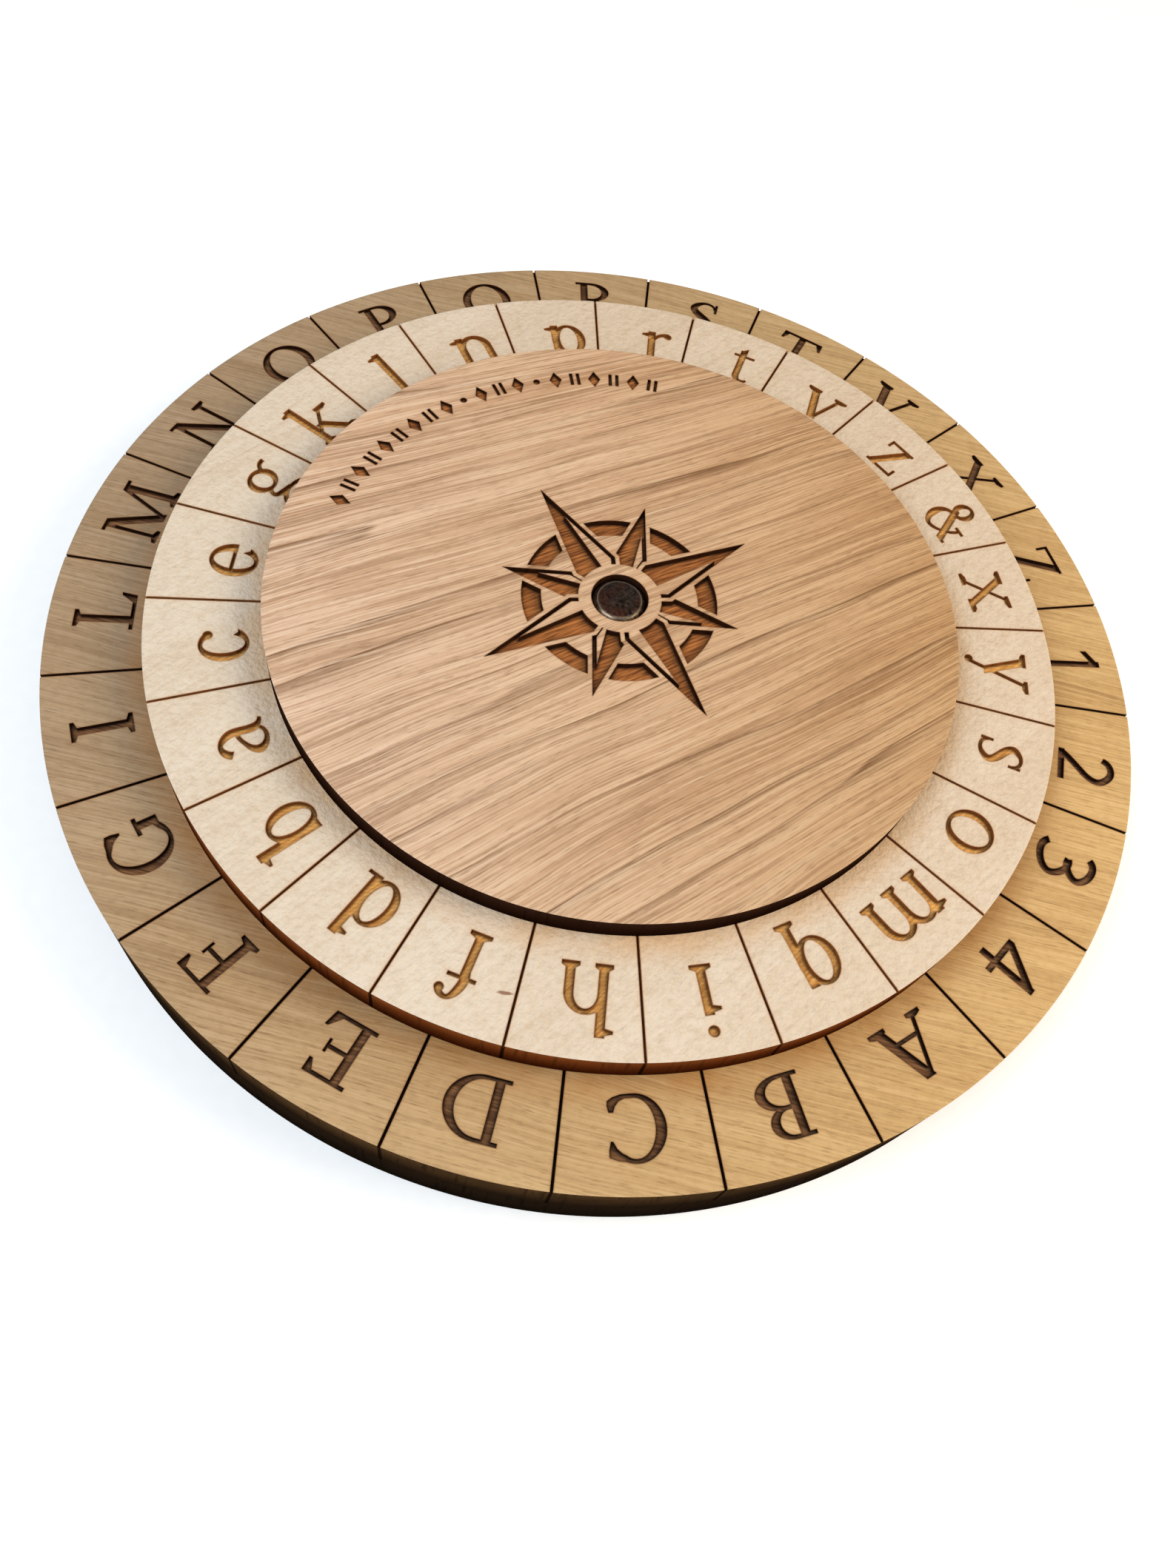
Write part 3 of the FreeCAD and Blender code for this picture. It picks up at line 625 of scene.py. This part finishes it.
def wood_face(name, wood):
    """A planed face: growth streaks, fibres, pores, mottling, painted light and shade across the disc,
    painted shade and warm reflection round the foot of the disc above, and scorching close to the
    engraving.
    """
    graph = Graph(name)
    place, grain = grain_space(graph, wood)
    dark, bright = paint(*wood["streak"]), paint(*wood["bright"])

    tone = graph.noise(graph.scaled(grain, 0.012, 0.13, 0.13), 3.0)
    tone = graph.span(tone, 0.32, 0.68)
    colour = graph.mix(tone, paint(*wood["pale"]), paint(*wood["deep"]))
    streak, thread = growth_streaks(graph, wood, grain)
    colour = graph.mix(graph.math("MULTIPLY", streak, wood["streaks"]), colour, dark)

    fibre = fine_fibres(graph, grain)
    dark_fibre = graph.math("MULTIPLY", graph.span(fibre, 0.49, 0.36), 0.5 * wood["fibres"])
    pale_fibre = graph.math("MULTIPLY", graph.span(fibre, 0.51, 0.64), 0.8 * wood["fibres"])
    colour = graph.mix(dark_fibre, colour, dark)
    colour = graph.mix(pale_fibre, colour, bright)
    pore = graph.noise(graph.scaled(grain, 0.45, 5.5, 5.5), 1.0)
    pore = graph.math("MULTIPLY", graph.span(pore, 0.62, 0.72), wood["pores"])
    colour = graph.mix(pore, colour, dark)
    mottle = graph.noise(graph.scaled(place, 1.1, 1.1, 1.1), 4.0, 0.65)
    colour = graph.mix(graph.span(mottle, 0.5, 0.3, 0.0, wood["mottle"]), colour, dark)
    colour = graph.mix(graph.span(mottle, 0.5, 0.7, 0.0, wood["mottle"]), colour, bright)
    # Painted light and shade: the disc's sides tinted lighter, darker, warmer and cooler.
    colour = painted_side_light(graph, wood, place, colour)

    # Painted shade and warm reflection round the foot of the disc above.
    if "foot_shade_from" in wood:
        colour = foot_shade_painted(graph, wood, place, colour)
    if "stain" in wood:
        colour = stained(graph, wood, place, mottle, colour)
    edge = graph.attribute("edge_mm")
    glow = graph.math("POWER", graph.span(edge, 0.0, 0.7, 1.0, 0.0), 2.0)
    glow = graph.math("MULTIPLY", glow, graph.span(thread, 0.3, 0.7, 0.1, 0.3))
    colour = graph.mix(glow, colour, paint(*wood["smoke_and_foot_shade"]))
    singe = graph.span(edge, 0.0, 0.13, 0.7, 0.0)
    colour = graph.mix(singe, colour, paint(*wood["scorch"]))

    pebbles = graph.noise(graph.scaled(place, 1.5, 1.5, 1.5), 3.0, 0.55)
    pebbles = graph.math("MULTIPLY", pebbles, wood["pebble"])
    relief = graph.math("MULTIPLY_ADD", fibre, 0.7 * wood["fibres"], pebbles)
    relief = graph.math("SUBTRACT", relief, pore)
    roughness = graph.span(fibre, 0.3, 0.7, 0.5, 0.68)
    return graph.finish(colour, roughness, graph.bump(relief, 0.7, 0.16), Specular_IOR_Level=0.3)


def engraved_floor(name, wood):
    """The bottom of an engraving: scorched grain, fine laser lines, and char next to the walls."""
    graph = Graph(name)
    place, grain = grain_space(graph, wood)
    dark = paint(*wood["floor_dark"])
    fibre = graph.noise(graph.scaled(grain, 0.25, 3.2, 3.2), 3.0, 0.65)
    colour = graph.mix(graph.span(fibre, 0.37, 0.63), dark, paint(*wood["floor_pale"]))
    turned = graph.add("VectorRotate", place, (0, 0, 0), (0, 0, 1), math.radians(-wood["raster"]),
                       rotation_type="Z_AXIS")
    lines = graph.math("MULTIPLY", graph.split(turned)[1], 2 * math.pi / RASTER_PITCH)
    lines = graph.math("SINE", lines)
    colour = graph.mix(graph.span(lines, -0.2, 1.0, 0.0, 0.3), colour, dark)
    nearness = graph.span(graph.attribute("edge_mm"), 0.03, 0.38, 0.9, 0.0)
    colour = graph.mix(nearness, colour, paint(*[0.4 * v for v in wood["floor_dark"]]))
    relief = graph.math("MULTIPLY_ADD", lines, 0.25, fibre)
    return graph.finish(colour, 0.75, graph.bump(relief, 0.7, 0.15), Specular_IOR_Level=0.15)


def lines_over(graph, place, colour, phase, rim_radius):
    """The sector lines run down over a rim. The phase is their turn from the x axis, in sectors."""
    x, y, _ = graph.split(place)
    angle = graph.math("ARCTAN2", y, x)
    turn = graph.math("MULTIPLY_ADD", angle, SECTORS / (2 * math.pi), 0.5 - phase)
    off = graph.math("ABSOLUTE", graph.math("SUBTRACT", graph.math("FRACT", turn), 0.5))
    half_line = RIM_LINE * SECTORS / (2 * math.pi * rim_radius)
    line = graph.span(off, half_line, 1.6 * half_line, 0.85, 0.0)
    return graph.mix(line, colour, paint(14, 8, 5))


def char(name, upper, lower, low_z=0.0, high_z=25.0, line_phase=None, rim_radius=None):
    """A laser-cut edge: char in upright streaks, from the lower colour at low_z to the upper one."""
    graph = Graph(name)
    place = graph.millimetres()
    streaks = graph.noise(graph.scaled(place, 1.6, 1.6, 0.14), 3.0, 0.6)
    clouds = graph.noise(graph.scaled(place, 0.12, 0.12, 0.3))
    height = graph.math("MULTIPLY_ADD", streaks, 1.6, graph.split(place)[2])
    height = graph.span(height, low_z + 0.8, high_z + 0.8)
    height = graph.math("MULTIPLY", height, graph.span(clouds, 0.3, 0.6, 0.6, 1.0))
    colour = graph.mix(height, paint(*lower), paint(*upper))
    burnt = graph.span(streaks, 0.52, 0.72, 0.0, 0.6)
    colour = graph.mix(burnt, colour, paint(*[0.5 * v for v in lower]))
    if line_phase is not None:
        colour = lines_over(graph, place, colour, line_phase, rim_radius)
    roughness = graph.span(streaks, 0.3, 0.7, 0.55, 0.8)
    return graph.finish(colour, roughness, graph.bump(streaks, 0.6, 0.1), Specular_IOR_Level=0.0)


def ring_steel(name):
    """Spring steel with faint mottling and scratches."""
    graph = Graph(name)
    place = graph.millimetres()
    mottle = graph.noise(graph.scaled(place, 3.0, 3.0, 3.0), 4.0, 0.65)
    scratches = graph.noise(graph.scaled(place, 9.0, 0.7, 2.0))
    colour = graph.mix(graph.span(mottle, 0.35, 0.65), paint(70, 70, 72), paint(120, 120, 124))
    wear = graph.span(scratches, 0.55, 0.75, 0.3, 0.45)
    return graph.finish(colour, wear, graph.bump(mottle, 0.25, 0.02), Metallic=1.0)


def pin_steel(name):
    """Dark polished steel, mottled by handling, with a painted highlight round its edge."""
    graph = Graph(name)
    place = graph.millimetres()
    mottle = graph.noise(graph.scaled(place, 1.9, 1.9, 1.9), 4.0, 0.7)
    cloud = graph.noise(graph.scaled(place, 0.32, 0.32, 0.32))
    colour = graph.mix(graph.span(mottle, 0.38, 0.62), paint(46, 34, 30), paint(92, 76, 66))
    colour = graph.mix(graph.span(cloud, 0.45, 0.6, 0.0, 0.6), colour, paint(96, 52, 38))
    # Painted highlight: a bright ring round the edge of the pin's end.
    out = graph.add("VectorMath", graph.scaled(place, 1.0, 1.0, 0.0), operation="LENGTH", output=1)
    edge = graph.span(out, PIN_RADIUS - 0.75, PIN_RADIUS - 0.35, 0.0, 0.75, smooth=True)
    colour = graph.mix(edge, colour, paint(196, 172, 146))
    shine = graph.span(mottle, 0.35, 0.65, 0.2, 0.42)
    return graph.finish(colour, shine, graph.bump(mottle, 0.35, 0.02), Metallic=1.0)


def nylon(name):
    """Milky plastic with a fine moulded grain."""
    graph = Graph(name)
    grain = graph.noise(graph.scaled(graph.millimetres(), 3.0, 3.0, 3.0), 3.0)
    colour = graph.mix(graph.span(grain, 0.3, 0.7), paint(196, 192, 182), paint(222, 219, 210))
    roughness = graph.span(grain, 0.3, 0.7, 0.38, 0.5)
    return graph.finish(colour, roughness, graph.bump(grain, 0.3, 0.03))


def floor_paper(name):
    """White studio paper, a little lit of itself."""
    graph = Graph(name)
    tooth = graph.noise(graph.scaled(graph.millimetres(), 0.6, 0.6, 0.6), 3.0)
    colour = graph.mix(graph.span(tooth, 0.3, 0.7), paint(244, 244, 243), paint(248, 248, 247))
    return graph.finish(colour, 0.9, None, Specular_IOR_Level=0.0,
                        Emission_Color=(1.0, 1.0, 1.0, 1.0), Emission_Strength=0.22)


# ------------------------------------------------------------------ the pieces
def same_depth(radius):
    """Letters are all engraved to one depth, wherever they stand."""
    return LETTER_DEPTH


def cover_depth(radius):
    """The emblem in the middle is engraved deeper than the garland near the rim."""
    return EMBLEM_DEPTH if radius < EMBLEM_REACH else GARLAND_DEPTH


def radius_of(node):
    """A disc's radius in millimetres."""
    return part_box(node)[1][0] / MM


base_rim = char("base_char", (84, 60, 36), (36, 25, 16), 6.5, 12.5, 0.0, radius_of("base_dial_plate"))
back_rim = char("back_char", (40, 28, 18), (22, 15, 10), 0.0, 8.0)
cipher_rim = char("cipher_char", (140, 76, 34), (74, 36, 18), 12.2, 16.9,
                  CIPHER_TURN * SECTORS / 360, radius_of("cipher_disc"))
cover_rim = char("cover_char", (58, 35, 24), (34, 20, 13), 16.7, 20.3)
black_line = char("scorched_line", (44, 26, 15), (24, 14, 9))
brown_line = char("browned_line", (106, 62, 30), (72, 40, 19))
wall = char("scorched_wall", (64, 36, 19), (32, 17, 10))
pale_wall = char("browned_wall", (164, 100, 44), (112, 60, 26))

base_face = wood_face("base_wood", WOODS["base"])
cipher_face = wood_face("cipher_wood", WOODS["cipher"])
cover_face = wood_face("cover_wood", WOODS["cover"])
base_floor = engraved_floor("base_engraved", WOODS["base"])
cipher_floor = engraved_floor("cipher_engraved", WOODS["cipher"])
cover_floor = engraved_floor("cover_engraved", WOODS["cover"])

DISCS = (
    ("base_dial", "base_dial_plate", "base", "base_wood",
     (base_face, base_floor, black_line, wall, base_rim, base_face), same_depth),
    ("cipher_wheel", "cipher_disc", "rotor", "cipher_wood",
     (cipher_face, cipher_floor, brown_line, pale_wall, cipher_rim, cipher_face), same_depth),
    ("cover_plate", "cover_disc", "rotor", "cover_wood",
     (cover_face, cover_floor, wall, wall, cover_rim, cover_face), cover_depth),
)
for name, node, body, slot, materials, depth_at in DISCS:
    piece = engraved_disc(name, node, materials, depth_at)
    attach(piece, body)
    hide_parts(node)

back_radius, back_top = radius_of("base_back_plate"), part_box("base_back_plate")[1][2] / MM
BACK_PROFILE = (
    (HEAD_HOLE, 0.0, PLANED),
    (back_radius - LIP_WIDTH, 0.0, CHARRED),
    (back_radius, LIP, CHARRED),
    (back_radius, back_top, PLANED),
    (HEAD_HOLE, back_top, CHARRED),
)
back = lathe("base_back", BACK_PROFILE, (back_rim, base_face), segments=720)
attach(back, "base")
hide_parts("base_back_plate")

HARDWARE = (
    ("pivot_pin", pin_steel("pin_metal")),
    ("retaining_ring", ring_steel("ring_metal")),
    ("thrust_washer", nylon("washer_nylon")),
    ("keeper_washer", nylon("keeper_nylon")),
)
for node, material in HARDWARE:
    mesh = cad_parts[node].data
    mesh.materials.clear()
    mesh.materials.append(material)

# ------------------------------------------------------------------ floor, lights and camera
FLOOR_REACH = 3.0
CAMERA_PLACE = (-0.009225, -0.089190, 0.134397)
CAMERA_DEGREES = (28.530, -6.959, 5.515)
CAMERA_LENS_MM = 27.863
CAMERA_SENSOR_MM = 36.0

floor_mesh = bpy.data.meshes.new("floor")
floor_corners = [(FLOOR_REACH * x, FLOOR_REACH * y, 0) for x, y in ((-1, -1), (1, -1), (1, 1), (-1, 1))]
floor_mesh.from_pydata(floor_corners, [], [(0, 1, 2, 3)])
floor_mesh.materials.append(floor_paper("floor_paper"))
floor = bpy.data.objects.new("floor", floor_mesh)
bpy.context.scene.collection.objects.link(floor)


def soft_light(name, place, size, watts, colour):
    """A round lamp that looks at the middle of the floor."""
    data = bpy.data.lights.new(name, "AREA")
    data.shape = "DISK"
    data.size = size
    data.energy = watts
    data.color = colour
    lamp = bpy.data.objects.new(name, data)
    lamp.location = place
    lamp.rotation_euler = (-Vector(place)).to_track_quat("-Z", "Y").to_euler()
    bpy.context.scene.collection.objects.link(lamp)


soft_light("window", (0.30, -0.02, 0.28), size=0.24, watts=1.10, colour=(1.0, 0.84, 0.60))
soft_light("sky", (-0.22, -0.16, 0.38), size=0.40, watts=1.50, colour=(0.84, 0.92, 1.0))

world = bpy.data.worlds.new("studio")
world.use_nodes = True
background = world.node_tree.nodes["Background"]
background.inputs["Color"].default_value = (0.95, 0.97, 1.0, 1.0)
background.inputs["Strength"].default_value = 0.38
bpy.context.scene.world = world
bpy.context.scene.view_settings.view_transform = "Standard"

camera = bpy.data.objects.new("camera", bpy.data.cameras.new("camera"))
camera.location = CAMERA_PLACE
camera.rotation_euler = [math.radians(angle) for angle in CAMERA_DEGREES]
camera.data.lens = CAMERA_LENS_MM
camera.data.sensor_width = CAMERA_SENSOR_MM
camera.data.clip_start = 0.005
bpy.context.scene.collection.objects.link(camera)
bpy.context.scene.camera = camera
